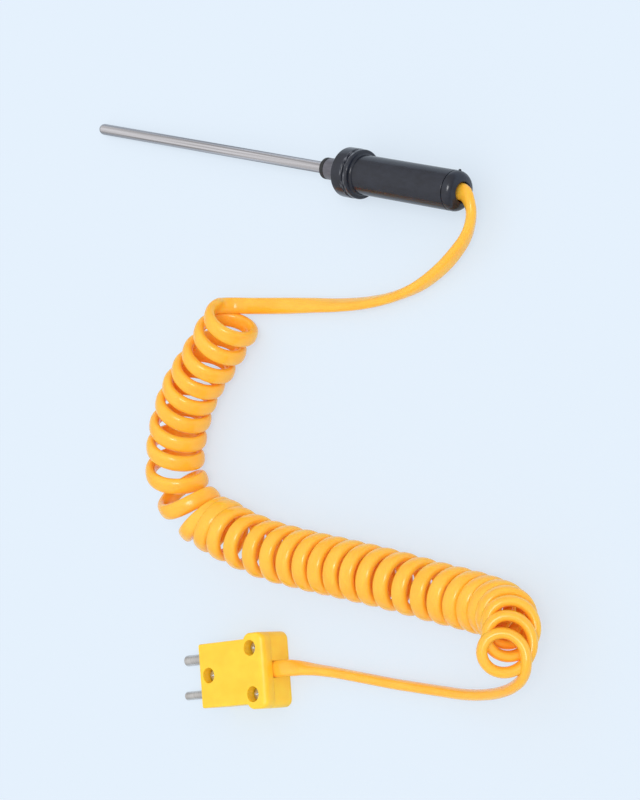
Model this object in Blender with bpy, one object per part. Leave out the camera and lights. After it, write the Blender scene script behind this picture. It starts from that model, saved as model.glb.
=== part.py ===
"""Thermocouple probe with a curly cord and a round-pin plug.

Lengths are in metres. +Z is up, the surface the probe lies on is Z = 0, and the probe points along -X.
The probe rests on the tip of its stem and on the rim of its front cap, so its axis rises to the rear.
Positions along the probe are counted from the tip of the stem, and positions along the plug from its front.
"""
import bpy
import bmesh
import math
from mathutils import Vector

MM = 0.001
SIDES = 36

# Clearances
seat_gap = 0.30 * MM
core_gap = 0.20 * MM

# Stem
stem_radius = 1.80 * MM
stem_wall = 0.40 * MM
stem_shown = 109.0 * MM
stem_tail = 19.0 * MM
tip_wall = 1.20 * MM

# Two-bore insulator, wires and junction
core_bore_radius = 0.36 * MM
core_bore_offset = 0.60 * MM
core_tail = 2.5 * MM
wire_radius = 0.15 * MM
junction_radius = 0.45 * MM

# Seal ring and collar at the mouth of the handle
collar_radius = 3.35 * MM
seal_length = 1.50 * MM
collar_shown = 7.60 * MM
collar_tail = 8.0 * MM

# Front cap
flange_radius = 7.67 * MM
flange_length = 4.70 * MM
flange_edge = 0.45 * MM
front_spigot = 7.0 * MM

# Handle barrel
barrel_radius = 6.08 * MM
barrel_bore = 4.60 * MM
barrel_length = 39.4 * MM
shoulder_radius = 7.60 * MM
shoulder_length = 1.80 * MM
shoulder_fillet = 0.60 * MM

# Rear cap
rear_cap_length = 3.20 * MM
rear_cap_edge = 2.50 * MM
rear_hole_radius = 3.00 * MM
rear_dome = 0.35 * MM
rear_spigot = 7.0 * MM
nub_radius = 0.45 * MM

# Cord
cord_radius = 2.05 * MM
conductor_radius = 0.70 * MM
strand_radius = 0.30 * MM
conductor_spread = 0.95 * MM
stop_length = 3.20 * MM
stop_radius = 4.00 * MM
handle_jacket_tail = 2.20 * MM

# Crimped splices in the handle
splice_radius = 1.05 * MM
splice_wall = 0.42 * MM
splice_length = 8.0 * MM
splice_offset = 1.80 * MM
splice_lap = 2.6 * MM
conductor_run = 5.0 * MM

# Plug housing
plug_length = 27.5 * MM
plug_height = 12.2 * MM
plug_front_width = 20.1 * MM
plug_rear_width = 23.6 * MM
plug_neck = 19.5 * MM
plug_front_corner = 0.70 * MM
plug_ear_corner = 2.60 * MM
side_rounding = 0.50 * MM
rear_rounding = 2.00 * MM
base_rounding = 0.60 * MM
parting_height = 8.00 * MM
floor_thickness = 2.20 * MM
roof_thickness = 1.80 * MM
side_wall = 1.70 * MM
pocket_corner = 0.50 * MM

# Pins
pin_pitch = 11.1 * MM
pin_height = 6.10 * MM
pin_shown = 12.4 * MM
negative_pin_radius = 1.75 * MM
positive_pin_radius = 1.38 * MM
pin_nose = 0.55 * MM
front_wall = 6.4 * MM
terminal_length = 7.0 * MM
terminal_flat = 0.60 * MM
collar_step = 0.70 * MM

# Terminal screws and washers
terminal_screw_radius = 0.85 * MM
terminal_head_radius = 1.90 * MM
terminal_head_height = 1.00 * MM
washer_radius = 2.20 * MM
washer_thickness = 0.40 * MM

# Cover screws
screw_hole_radius = 2.40 * MM
screw_head_radius = 2.05 * MM
screw_head_height = 1.10 * MM
screw_depth = 3.20 * MM
screw_shank_radius = 1.05 * MM
screw_boss_wall = 0.55 * MM
screw_boss_floor = 0.95 * MM
screw_end_height = 1.60 * MM
screw_front = 3.75 * MM
screw_rear = 22.0 * MM
screw_spread = 7.15 * MM

# Where the plug lies, and how it is turned about the vertical
plug_x = 15.4 * MM
plug_y = -163.9 * MM
plug_turn = math.radians(19.5)

# Route of the cord from the rear cap to the coil, in millimetres
HANDLE_ROUTE = [
    (88.3, -2.2, 10.4), (89.2, -5.4, 9.4), (87.4, -10.2, 7.2), (83.9, -15.7, 5.0), (79.4, -20.6, 3.3),
    (73.9, -25.4, 2.4), (67.1, -30.1, 2.1), (60.0, -33.7, 2.1), (52.6, -36.8, 2.1), (37.1, -40.7, 2.1),
    (20.7, -43.5, 2.1), (8.0, -45.6, 2.1), (-2.8, -47.3, 2.1),
]

# Route of the cord from the coil to the plug, in millimetres
PLUG_ROUTE = [
    (142.2, -127.8, 13.9), (136.6, -134.0, 8.6), (128.0, -138.8, 4.9), (117.4, -142.7, 2.7), (102.3, -145.5, 2.1),
    (87.1, -147.5, 2.1), (68.5, -150.0, 2.3), (55.5, -151.5, 4.2),
]

# Middle line of the coil and its outer radius, in millimetres
COIL_ROUTE = [
    (0.6, -52.0, 9.4, 9.4), (-4.4, -60.6, 9.4, 9.4), (-7.6, -66.4, 9.4, 9.4), (-10.7, -72.5, 9.4, 9.4),
    (-13.9, -78.3, 9.4, 9.4), (-15.3, -83.8, 9.4, 9.4), (-16.0, -90.2, 9.4, 9.4), (-15.9, -97.4, 9.4, 9.4),
    (-13.0, -105.2, 9.4, 9.4), (-7.4, -111.2, 9.4, 9.4), (0.0, -114.6, 9.4, 9.4), (7.5, -116.4, 9.4, 9.4),
    (15.1, -118.0, 9.4, 9.4), (30.8, -119.4, 9.3, 9.3), (45.1, -118.9, 9.2, 9.2), (64.3, -117.8, 9.1, 9.1),
    (84.2, -116.6, 9.0, 9.0), (105.8, -116.0, 9.2, 8.9), (114.5, -115.9, 9.7, 8.9), (121.2, -115.6, 11.2, 8.8),
    (129.9, -116.1, 15.2, 8.6), (136.1, -120.2, 20.0, 8.3), (138.6, -125.0, 23.6, 8.2),
]
# The coil's solids: a straight run, the bend, the long run and the end that turns up, by the route's points
COIL_RUNS = [("coil_upper", 0, 7), ("coil_bend", 7, 11), ("coil_lower", 11, 18), ("coil_end", 18, 22)]


def clear_scene():
    for old in list(bpy.data.objects):
        bpy.data.objects.remove(old)


def srgb(value):
    """Linear colour of a hexadecimal screen colour."""
    parts = [int(value[i:i + 2], 16) / 255 for i in (0, 2, 4)]
    return [p / 12.92 if p <= 0.04045 else ((p + 0.055) / 1.055) ** 2.4 for p in parts] + [1.0]


def material(name, colour, roughness, metallic=0.0):
    made = bpy.data.materials.new(name)
    made.use_nodes = True
    shader = made.node_tree.nodes["Principled BSDF"]
    shader.inputs["Base Color"].default_value = srgb(colour)
    shader.inputs["Roughness"].default_value = roughness
    shader.inputs["Metallic"].default_value = metallic
    made.diffuse_color = srgb(colour)
    return made


def finish(name, shape, look, parent=None, location=(0, 0, 0), sharp=35):
    """Turn a bmesh into a named object with its material."""
    bmesh.ops.remove_doubles(shape, verts=shape.verts, dist=1e-7)
    bmesh.ops.recalc_face_normals(shape, faces=shape.faces)
    mesh = bpy.data.meshes.new(name)
    shape.to_mesh(mesh)
    shape.free()
    mesh.shade_smooth()
    mesh.set_sharp_from_angle(angle=math.radians(sharp))
    made = bpy.data.objects.new(name, mesh)
    if look:
        mesh.materials.append(look)
    made.parent = parent
    made.location = location
    bpy.context.scene.collection.objects.link(made)
    return made


def spin_profile(profile, closed, sides=SIDES):
    """Revolve a profile of (position along X, radius) about X. A closed profile makes a ring or a tube."""
    shape = bmesh.new()
    verts = [shape.verts.new((x, r, 0)) for x, r in profile]
    pairs = list(zip(verts, verts[1:]))
    if closed:
        pairs.append((verts[-1], verts[0]))
    edges = [shape.edges.new(pair) for pair in pairs]
    bmesh.ops.spin(shape, geom=verts + edges, cent=(0, 0, 0), axis=(1, 0, 0), dvec=(0, 0, 0),
                   angle=math.tau, steps=sides, use_merge=True)
    return shape


def turned(name, profile, look, parent, closed=False, sides=SIDES, location=(0, 0, 0)):
    return finish(name, spin_profile(profile, closed, sides), look, parent, location)


def arc(x, r, radius, start, end, steps):
    """Points of an arc in the (position, radius) plane, with angles in degrees."""
    found = []
    for i in range(steps + 1):
        a = math.radians(start + (end - start) * i / steps)
        found.append((x + radius * math.cos(a), r + radius * math.sin(a)))
    return found


def upright(name, profile, look, parent, location, closed=False, sides=32):
    """Revolve a profile of (height, radius) about Z."""
    shape = spin_profile(profile, closed, sides)
    for vert in shape.verts:
        x, y, z = vert.co
        vert.co = (-z, y, x)
    return finish(name, shape, look, parent, location)


def guide(made):
    """A cutter: it shapes another piece and is no piece itself."""
    made.hide_render = True
    made.display_type = "WIRE"
    return made


def cut(piece, *cutters):
    for cutter in cutters:
        boolean = piece.modifiers.new("cut " + cutter.name, "BOOLEAN")
        boolean.operation = "DIFFERENCE"
        boolean.solver = "EXACT"
        boolean.object = guide(cutter)


def prism(name, outline, low, high, parent):
    """Cutter with an outline in the plug's plan and straight walls."""
    shape = bmesh.new()
    base = [shape.verts.new((x, y, low)) for x, y in outline]
    top = [shape.verts.new((x, y, high)) for x, y in outline]
    shape.faces.new(list(reversed(base)))
    shape.faces.new(top)
    for i in range(len(outline)):
        j = (i + 1) % len(outline)
        shape.faces.new((base[i], base[j], top[j], top[i]))
    return finish(name, shape, None, parent)


def rounded_rectangle(x0, x1, half_width, radius, steps=4):
    points = []
    for cx, cy, first in ((x1 - radius, half_width - radius, 0), (x0 + radius, half_width - radius, 90),
                          (x0 + radius, radius - half_width, 180), (x1 - radius, radius - half_width, 270)):
        for i in range(steps + 1):
            a = math.radians(first + 90 * i / steps)
            points.append((cx + radius * math.cos(a), cy + radius * math.sin(a)))
    return points


def channel(name, x0, x1, y, z, radius, top, parent, steps=10):
    """Cutter for a groove with a round bottom, open at its top, along the plug."""
    section = [(y + radius, top), (y - radius, top)]
    for i in range(steps + 1):
        a = math.pi + math.pi * i / steps
        section.append((y + radius * math.cos(a), z + radius * math.sin(a)))
    shape = bmesh.new()
    front = [shape.verts.new((x0, sy, sz)) for sy, sz in section]
    back = [shape.verts.new((x1, sy, sz)) for sy, sz in section]
    shape.faces.new(front)
    shape.faces.new(list(reversed(back)))
    for i in range(len(section)):
        j = (i + 1) % len(section)
        shape.faces.new((front[i], front[j], back[j], back[i]))
    return finish(name, shape, None, parent)


def smooth_curve(points, steps=20):
    """Fine points of a smooth curve through the route's own points."""
    knots = [Vector(p) for p in points]
    knots = [knots[0] * 2 - knots[1]] + knots + [knots[-1] * 2 - knots[-2]]
    fine = []
    for i in range(1, len(knots) - 2):
        a, b, c, d = knots[i - 1:i + 3]
        for j in range(steps):
            t = j / steps
            fine.append(((2 * b) + (c - a) * t + (2 * a - 5 * b + 4 * c - d) * t ** 2
                         + (3 * b - a - 3 * c + d) * t ** 3) / 2)
    fine.append(knots[-2])
    return fine


def spaced(fine, spacing):
    """Points at an even spacing along a fine curve."""
    reach = [0.0]
    for a, b in zip(fine, fine[1:]):
        reach.append(reach[-1] + (b.xyz - a.xyz).length)
    count = max(2, round(reach[-1] / spacing) + 1)
    found = []
    for k in range(count):
        want = reach[-1] * k / (count - 1)
        i = next((n for n in range(1, len(reach)) if reach[n] >= want - 1e-12), len(reach) - 1)
        share = (want - reach[i - 1]) / (reach[i] - reach[i - 1])
        found.append(fine[i - 1].lerp(fine[i], min(1.0, share)))
    return found


def tube(name, points, radius, look, parent=None, resolution=4, factors=None):
    """Round tube with filled ends along a line of points."""
    curve = bpy.data.curves.new(name, "CURVE")
    curve.dimensions = "3D"
    curve.bevel_depth = radius
    curve.bevel_resolution = resolution
    curve.render_resolution_u = 0
    curve.use_fill_caps = True
    curve.twist_mode = "MINIMUM"
    spline = curve.splines.new("POLY")
    spline.points.add(len(points) - 1)
    for i, (spot, place) in enumerate(zip(spline.points, points)):
        spot.co = (place[0], place[1], place[2], 1.0)
        spot.radius = factors[i] if factors else 1.0
    curve.materials.append(look)
    made = bpy.data.objects.new(name, curve)
    made.parent = parent
    bpy.context.scene.collection.objects.link(made)
    return made


clear_scene()

steel = material("stem steel", "A8A19B", 0.32, 0.9)
ceramic = material("ceramic", "E9E4D8", 0.6)
nickel_alloy = material("thermocouple alloy", "9A958C", 0.35, 1.0)
black_rubber = material("seal rubber", "1E1F22", 0.7)
grey_plastic = material("collar plastic", "77757C", 0.45)
black_plastic = material("handle plastic", "35363B", 0.35)
crimp_metal = material("crimp metal", "B9B4A6", 0.35, 1.0)
orange_jacket = material("cord jacket", "FFB638", 0.35)
red_insulation = material("negative insulation", "B8352A", 0.5)
yellow_insulation = material("positive insulation", "F2C21C", 0.5)
yellow_plastic = material("plug plastic", "FFD23A", 0.4)
pin_nickel = material("pin nickel", "A9A8A6", 0.35, 0.9)
screw_steel = material("screw steel", "9C9A96", 0.3, 1.0)

# The probe's axis leaves the tip at the stem's own radius and passes the rim of the front cap, which touches
# the surface. The tilt follows from both radii and the distance between them.
flange_front = stem_shown + seal_length + seat_gap + collar_shown
reach = flange_front - stem_radius
tilt = math.acos(stem_radius / math.hypot(flange_radius, reach)) - math.atan2(reach, flange_radius)
flange_rear = flange_front + flange_length
barrel_start = flange_rear + seat_gap
barrel_end = barrel_start + barrel_length
cap_start = barrel_end + seat_gap
probe_length = cap_start + rear_cap_length

probe = bpy.data.objects.new("probe_pose", None)
bpy.context.scene.collection.objects.link(probe)
tip_center_x = -(probe_length - stem_radius) * math.cos(tilt) / 2 + stem_radius / 2
probe.location = (tip_center_x - stem_radius * math.cos(tilt), 0, stem_radius - stem_radius * math.sin(tilt))
probe.rotation_euler = (0, -tilt, 0)

# Stem: a closed tube with a round tip.
stem_bore = stem_radius - stem_wall
stem_end = stem_shown + stem_tail
stem_profile = [(0, 0)] + arc(stem_radius, 0, stem_radius, 180, 90, 6)[1:]
stem_profile += [(stem_end, stem_radius), (stem_end, stem_bore), (tip_wall + stem_bore * 0.6, stem_bore),
                 (tip_wall, stem_bore * 0.5), (tip_wall, 0)]
turned("stem_sheath", stem_profile, steel, probe)

# The welded junction lies in the tip, and the two wires run back from it through the insulator.
junction_x = tip_wall + core_gap + junction_radius
turned("measuring_junction", [(junction_x - junction_radius, 0)]
       + arc(junction_x, 0, junction_radius, 180, 0, 8)[1:-1] + [(junction_x + junction_radius, 0)],
       nickel_alloy, probe, sides=16)
wire_start = junction_x + junction_radius + core_gap
core_start = wire_start + 1.0 * MM
core_end = stem_end + core_tail
core = turned("insulator_core", [(core_start, 0), (core_start, stem_bore - core_gap),
                                 (core_end, stem_bore - core_gap), (core_end, 0)], ceramic, probe, sides=32)
for side, label in ((1, "a"), (-1, "b")):
    cut(core, turned("core_bore_" + label, [(core_start - 1 * MM, 0), (core_start - 1 * MM, core_bore_radius),
                                            (core_end + 1 * MM, core_bore_radius), (core_end + 1 * MM, 0)],
                     None, probe, sides=12, location=(0, side * core_bore_offset, 0)))

# Crimped splices join the wires to the cord's conductors in the handle.
jacket_front = cap_start - rear_spigot - seat_gap - stop_length - handle_jacket_tail
splice_end = jacket_front - seat_gap - conductor_run
splice_start = splice_end - splice_length
splice_bore = splice_radius - splice_wall
for side, label, colour in ((1, "negative", red_insulation), (-1, "positive", yellow_insulation)):
    off = side * core_bore_offset
    away = side * splice_offset
    tube("wire_" + label, [
        (wire_start, off * 0.5, 0), (core_start - 0.3 * MM, off, 0), (core_end * 0.5, off, 0),
        (core_end + 0.8 * MM, off, 0), ((core_end + splice_start) / 2, (off + away) / 2, 0),
        (splice_start - 0.8 * MM, away, 0), (splice_start + splice_lap, away, 0)],
        wire_radius, nickel_alloy, probe, resolution=2)
    turned("splice_" + label, [
        (splice_start, splice_bore), (splice_start, splice_radius), (splice_start + splice_length * 0.25, splice_radius),
        (splice_start + splice_length * 0.35, splice_radius * 0.86),
        (splice_start + splice_length * 0.65, splice_radius * 0.86),
        (splice_start + splice_length * 0.75, splice_radius), (splice_end, splice_radius), (splice_end, splice_bore)],
        crimp_metal, probe, closed=True, sides=16, location=(0, away, 0))
    step = strand_radius / conductor_radius
    near = side * conductor_spread
    line = [(jacket_front - seat_gap, near, 0), (jacket_front - seat_gap - 1.2 * MM, near, 0),
            (splice_end + 1.2 * MM, away, 0), (splice_end + seat_gap, away, 0),
            (splice_end + seat_gap - 0.05 * MM, away, 0), (splice_end - splice_lap, away, 0)]
    tube("handle_conductor_" + label, line, conductor_radius, colour, probe, resolution=2,
         factors=[1, 1, 1, 1, step, step])

# Seal ring and collar around the stem.
stem_seat = stem_radius + seat_gap
seal_edge = 0.35 * MM
turned("stem_seal", [(stem_shown, stem_seat)] + arc(stem_shown + seal_edge, collar_radius - seal_edge, seal_edge, 180, 90, 3)
       + [(stem_shown + seal_length, collar_radius), (stem_shown + seal_length, stem_seat)],
       black_rubber, probe, closed=True)
collar_start = stem_shown + seal_length + seat_gap
collar_end = flange_front + collar_tail
turned("stem_collar", [(collar_start, stem_seat), (collar_start, collar_radius), (collar_end, collar_radius),
                       (collar_end, stem_seat)], grey_plastic, probe, closed=True)

# Front cap: a disc with a spigot that screws into the barrel.
collar_seat = collar_radius + seat_gap
spigot_radius = barrel_bore - seat_gap
spigot_end = flange_rear + front_spigot
turned("front_cap", [(flange_front, collar_seat)]
       + arc(flange_front + flange_edge, flange_radius - flange_edge, flange_edge, 180, 90, 3)
       + arc(flange_rear - flange_edge, flange_radius - flange_edge, flange_edge, 90, 0, 3)
       + [(flange_rear, spigot_radius), (spigot_end, spigot_radius), (spigot_end, collar_seat)],
       black_plastic, probe, closed=True)

# Barrel: a tube with a shoulder ring at its front.
shoulder_end = barrel_start + shoulder_length
turned("handle_barrel", [(barrel_start, barrel_bore)]
       + arc(barrel_start + flange_edge, shoulder_radius - flange_edge, flange_edge, 180, 90, 3)
       + arc(shoulder_end - flange_edge, shoulder_radius - flange_edge, flange_edge, 90, 0, 3)
       + arc(shoulder_end + shoulder_fillet, barrel_radius + shoulder_fillet, shoulder_fillet, 180, 270, 3)
       + [(barrel_end, barrel_radius), (barrel_end, barrel_bore)],
       black_plastic, probe, closed=True)

# Rear cap: a domed button with the cord's hole, and a spigot in the barrel. A moulding nub stands on its rim.
cap_end = probe_length
cap_shoulder = cap_end - rear_dome - rear_cap_edge
rear_profile = [(cap_start, barrel_radius)] + arc(cap_shoulder, barrel_radius - rear_cap_edge, rear_cap_edge, 90, 12, 6)
rear_profile += [(cap_end, rear_hole_radius + 0.35 * MM), (cap_end - 0.25 * MM, rear_hole_radius),
                 (cap_start - rear_spigot, rear_hole_radius), (cap_start - rear_spigot, spigot_radius),
                 (cap_start, spigot_radius)]
rear_cap = turned("rear_cap", rear_profile, black_plastic, probe, closed=True)
nub = turned("rear_cap_nub", [(-nub_radius, 0)] + arc(0, 0, nub_radius, 180, 0, 8)[1:-1] + [(nub_radius, 0)],
             black_plastic, probe, sides=12,
             location=((cap_start + cap_shoulder) / 2 + 0.3 * MM, barrel_radius, 0))
join = rear_cap.modifiers.new("nub", "BOOLEAN")
join.operation = "UNION"
join.solver = "EXACT"
join.object = guide(nub)

# The cord's own stop bears on the end of the rear cap's spigot and takes the pull.
stop_seat = cord_radius + seat_gap
stop_start = jacket_front + handle_jacket_tail
turned("cord_stop", [(stop_start, stop_seat), (stop_start, stop_radius - 0.4 * MM), (stop_start + 0.4 * MM, stop_radius),
                     (stop_start + stop_length, stop_radius), (stop_start + stop_length, stop_seat)],
       crimp_metal, probe, closed=True, sides=32)

# Cord from inside the handle to the coil. It leaves the cap along the probe's axis.
axis = Vector((math.cos(tilt), 0, math.sin(tilt)))
tip = Vector(probe.location)
inside = [tip + axis * jacket_front, tip + axis * (jacket_front + 4 * MM), tip + axis * (cap_start - 4 * MM),
          tip + axis * (cap_end - 1 * MM)]
handle_route = spaced(smooth_curve(inside + [Vector(p) * MM for p in HANDLE_ROUTE]), 2.5 * cord_radius)
tube("cord_handle_end", handle_route, cord_radius, orange_jacket, resolution=3)

# The coil is one fat tube of its outer size. Its runs meet face to face, each cut square to the route.
coil_curve = smooth_curve([Vector(p) * MM for p in COIL_ROUTE])
for name, first, last in COIL_RUNS:
    run = spaced(coil_curve[20 * first:20 * last + 1], 8 * MM)
    for i, inward in ((0, 1), (-1, -1)):
        at = 20 * (first if i == 0 else last)
        heading = (coil_curve[min(at + 1, len(coil_curve) - 1)] - coil_curve[max(at - 1, 0)]).xyz.normalized() * inward
        flat = heading.to_4d()
        flat.w = 0
        face = run[i] + flat * seat_gap / 2
        run[i] = face
        run.insert(1 if i == 0 else -1, face + flat * 2 * MM)
    widest = max(p[3] for p in run)
    tube(name, [p.xyz for p in run], widest, orange_jacket, factors=[p[3] / widest for p in run])

# Plug: two shells that part above the pins, turned to lie as it does beside the coil.
plug = bpy.data.objects.new("plug_pose", None)
bpy.context.scene.collection.objects.link(plug)
plug.location = (plug_x, plug_y, 0)
plug.rotation_euler = (0, 0, plug_turn)


def plug_outline():
    """Outline of the plug in its plan as (x, y, outward x, outward y, share of the rear rounding)."""
    front = plug_front_width / 2
    ear = plug_rear_width / 2
    corner = plug_front_corner
    radius = plug_ear_corner
    half = []
    for i in range(5):
        a = math.radians(180 - 90 * i / 4)
        half.append((corner + corner * math.cos(a), front - corner + corner * math.sin(a), math.cos(a), math.sin(a), 0))
    start = math.asin((front - ear + radius) / radius)
    center = plug_neck + radius * math.cos(start)
    for i in range(7):
        a = math.pi - start + (start - math.pi / 2) * i / 6
        half.append((center + radius * math.cos(a), ear - radius + radius * math.sin(a), math.cos(a), math.sin(a), 0.25 * i / 6))
    for i in range(9):
        a = math.radians(90 - 90 * i / 8)
        half.append((plug_length - radius + radius * math.cos(a), ear - radius + radius * math.sin(a),
                     math.cos(a), math.sin(a), 0.25 + 0.75 * i / 8))
    other = [(x, -y, nx, -ny, share) for x, y, nx, ny, share in reversed(half)]
    return half + other


def plug_shell(name, low, high, rounded_high, side, rear, steps=4):
    """Loft of the plug's outline with a rounded edge at its top, or at its foot, larger at the rear."""
    outline = plug_outline()
    shape = bmesh.new()
    rings = []
    far = high if rounded_high else low
    near = low if rounded_high else high
    sign = 1 if rounded_high else -1
    rings.append([shape.verts.new((x, y, near)) for x, y, nx, ny, share in outline])
    for k in range(steps + 1):
        a = math.radians(90 * k / steps)
        ring = []
        for x, y, nx, ny, share in outline:
            radius = side + (rear - side) * share
            inset = radius * (1 - math.cos(a))
            ring.append(shape.verts.new((x - nx * inset, y - ny * inset, far - sign * radius * (1 - math.sin(a)))))
        rings.append(ring)
    for a, b in zip(rings, rings[1:]):
        for i in range(len(a)):
            j = (i + 1) % len(a)
            shape.faces.new((a[i], a[j], b[j], b[i]))
    shape.faces.new(rings[0])
    shape.faces.new(rings[-1])
    return finish(name, shape, yellow_plastic, plug)


pocket_half = plug_front_width / 2 - side_wall
terminal_radius = pocket_half - pin_pitch / 2 - seat_gap
pocket = rounded_rectangle(front_wall, plug_neck - 0.5 * MM, pocket_half, pocket_corner)
screws = [("front", screw_front, 0.0), ("upper", screw_rear, screw_spread), ("lower", screw_rear, -screw_spread)]
head_top = plug_height - screw_depth
head_foot = head_top - screw_head_height
boss_radius = screw_hole_radius + screw_boss_wall
boss_foot = head_foot - seat_gap - screw_boss_floor
jacket_end = plug_neck + 1.2 * MM
cord_height = parting_height - cord_radius - 0.1 * MM

base = plug_shell("plug_base", 0.0, parting_height, False, base_rounding, base_rounding)
cut(base, prism("base_pocket", pocket, floor_thickness, parting_height + 1 * MM, plug))
cut(base, channel("cord_channel", plug_neck - 1 * MM, plug_length + 1 * MM, 0.0, cord_height, cord_radius + seat_gap,
                  parting_height + 1 * MM, plug))

cover = plug_shell("plug_cover", parting_height + seat_gap, plug_height, True, side_rounding, rear_rounding)
cut(cover, prism("cover_pocket", pocket, parting_height - 1 * MM, plug_height - roof_thickness, plug))

for label, x, y in screws:
    # Each screw stands in a boss of the cover, which sits in a socket of the base.
    boss = upright("boss_" + label, [(boss_foot, 0), (boss_foot, boss_radius),
                                     (parting_height + 1.2 * MM, boss_radius), (parting_height + 1.2 * MM, 0)],
                   None, plug, (x, y, 0))
    add = cover.modifiers.new("boss " + label, "BOOLEAN")
    add.operation = "UNION"
    add.solver = "EXACT"
    add.object = guide(boss)
for label, x, y in screws:
    hole = upright("hole_" + label, [(boss_foot - 1 * MM, 0), (boss_foot - 1 * MM, screw_shank_radius + seat_gap),
                                     (head_foot - seat_gap, screw_shank_radius + seat_gap),
                                     (head_foot - seat_gap, screw_hole_radius),
                                     (plug_height + 1 * MM, screw_hole_radius), (plug_height + 1 * MM, 0)],
                   None, plug, (x, y, 0))
    cut(cover, hole)
    socket = upright("socket_" + label, [(screw_end_height - seat_gap, 0),
                                         (screw_end_height - seat_gap, screw_shank_radius + seat_gap),
                                         (boss_foot - seat_gap, screw_shank_radius + seat_gap),
                                         (boss_foot - seat_gap, boss_radius + seat_gap),
                                         (parting_height + 1 * MM, boss_radius + seat_gap),
                                         (parting_height + 1 * MM, 0)], None, plug, (x, y, 0))
    cut(base, socket)
    upright("cover_screw_" + label, [(screw_end_height, 0), (screw_end_height + 0.4 * MM, screw_shank_radius),
                                     (head_foot, screw_shank_radius), (head_foot, screw_head_radius),
                                     (head_top - 0.3 * MM, screw_head_radius), (head_top, screw_head_radius - 0.4 * MM),
                                     (head_top, 0)], screw_steel, plug, (x, y, 0))

# Pins with their screw terminals.
flat_height = pin_height + terminal_flat
screw_place = front_wall + collar_step + terminal_length / 2 + 0.2 * MM
washer_foot = flat_height + 2 * strand_radius + 2 * seat_gap
screw_head_foot = washer_foot + washer_thickness + seat_gap
for side, label, radius, colour in ((1, "negative", negative_pin_radius, red_insulation),
                                    (-1, "positive", positive_pin_radius, yellow_insulation)):
    y = side * pin_pitch / 2
    cut(base, channel("pin_channel_" + label, -1 * MM, front_wall + 1 * MM, y, pin_height, radius + seat_gap,
                      parting_height + 1 * MM, plug))
    block_start = front_wall + seat_gap
    block_end = block_start + collar_step + terminal_length
    pin = turned("pin_" + label, [(-pin_shown, 0), (-pin_shown, radius - pin_nose)]
                 + arc(-pin_shown + pin_nose, radius - pin_nose, pin_nose, 180, 90, 4)[1:]
                 + [(block_start, radius), (block_start, terminal_radius), (block_end - 0.4 * MM, terminal_radius),
                    (block_end, terminal_radius - 0.4 * MM), (block_end, 0)],
                 pin_nickel, plug, sides=32, location=(0, y, pin_height))
    cut(pin, prism("flat_" + label, rounded_rectangle(block_start + collar_step, block_end + 1 * MM, 3 * MM, 0.3 * MM),
                   flat_height, pin_height + 4 * MM, plug))
    bpy.data.objects["flat_" + label].location = (0, y, 0)
    cut(pin, upright("tapping_" + label, [(pin_height - 4 * MM, 0), (pin_height - 4 * MM, terminal_screw_radius + core_gap),
                                          (pin_height + 4 * MM, terminal_screw_radius + core_gap),
                                          (pin_height + 4 * MM, 0)], None, plug, (screw_place, y, 0), sides=20))
    upright("terminal_washer_" + label, [(washer_foot, terminal_screw_radius + core_gap), (washer_foot, washer_radius),
                                         (washer_foot + washer_thickness, washer_radius),
                                         (washer_foot + washer_thickness, terminal_screw_radius + core_gap)],
            screw_steel, plug, (screw_place, y, 0), closed=True, sides=24)
    upright("terminal_screw_" + label, [(pin_height - 1.8 * MM, 0), (pin_height - 1.8 * MM, terminal_screw_radius),
                                        (screw_head_foot, terminal_screw_radius), (screw_head_foot, terminal_head_radius),
                                        (screw_head_foot + terminal_head_height, terminal_head_radius - 0.2 * MM),
                                        (screw_head_foot + terminal_head_height, 0)],
            screw_steel, plug, (screw_place, y, 0), sides=24)
    # The conductor runs from the cord's jacket to the terminal, and its bare strands lie under the washer.
    inner = y - side * (terminal_screw_radius + seat_gap + strand_radius + 0.1 * MM)
    strand_height = flat_height + seat_gap + strand_radius
    bare = block_end + 0.6 * MM
    step = strand_radius / conductor_radius
    tube("plug_conductor_" + label, [
        (jacket_end - seat_gap, side * conductor_spread, cord_height),
        (jacket_end - seat_gap - 1.2 * MM, side * conductor_spread * 1.2, cord_height + 0.3 * MM),
        (bare + 1.2 * MM, inner, strand_height + 0.5 * MM), (bare, inner, strand_height + 0.1 * MM),
        (bare - 0.05 * MM, inner, strand_height), (screw_place - 1.4 * MM, inner, strand_height)],
        conductor_radius, colour, plug, resolution=2, factors=[1, 1, 1, 1, step, step])

# Cord from the coil to the plug, which it enters along the plug's own axis.
heading = Vector((math.cos(plug_turn), math.sin(plug_turn), 0))
mouth = Vector((plug_x, plug_y, cord_height))
entry = [mouth + heading * (plug_length + 4 * MM), mouth + heading * plug_length,
         mouth + heading * (jacket_end + 2 * MM), mouth + heading * jacket_end]
plug_route = spaced(smooth_curve([Vector(p) * MM for p in PLUG_ROUTE] + entry), 3 * cord_radius)
tube("cord_plug_end", plug_route, cord_radius, orange_jacket, resolution=3)
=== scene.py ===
# Thermocouple probe: a steel stem in a black handle, a curly cord and a plug with two round pins.
# Lengths are in metres in the CAD's frame: +Z is up, the table is Z = 0, and the probe points along -X.
# Each section is one piece or a group of like pieces, in the order in which the real probe is put together.
import math

import bmesh
import bpy
import numpy as np
from mathutils import Matrix, Vector


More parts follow.
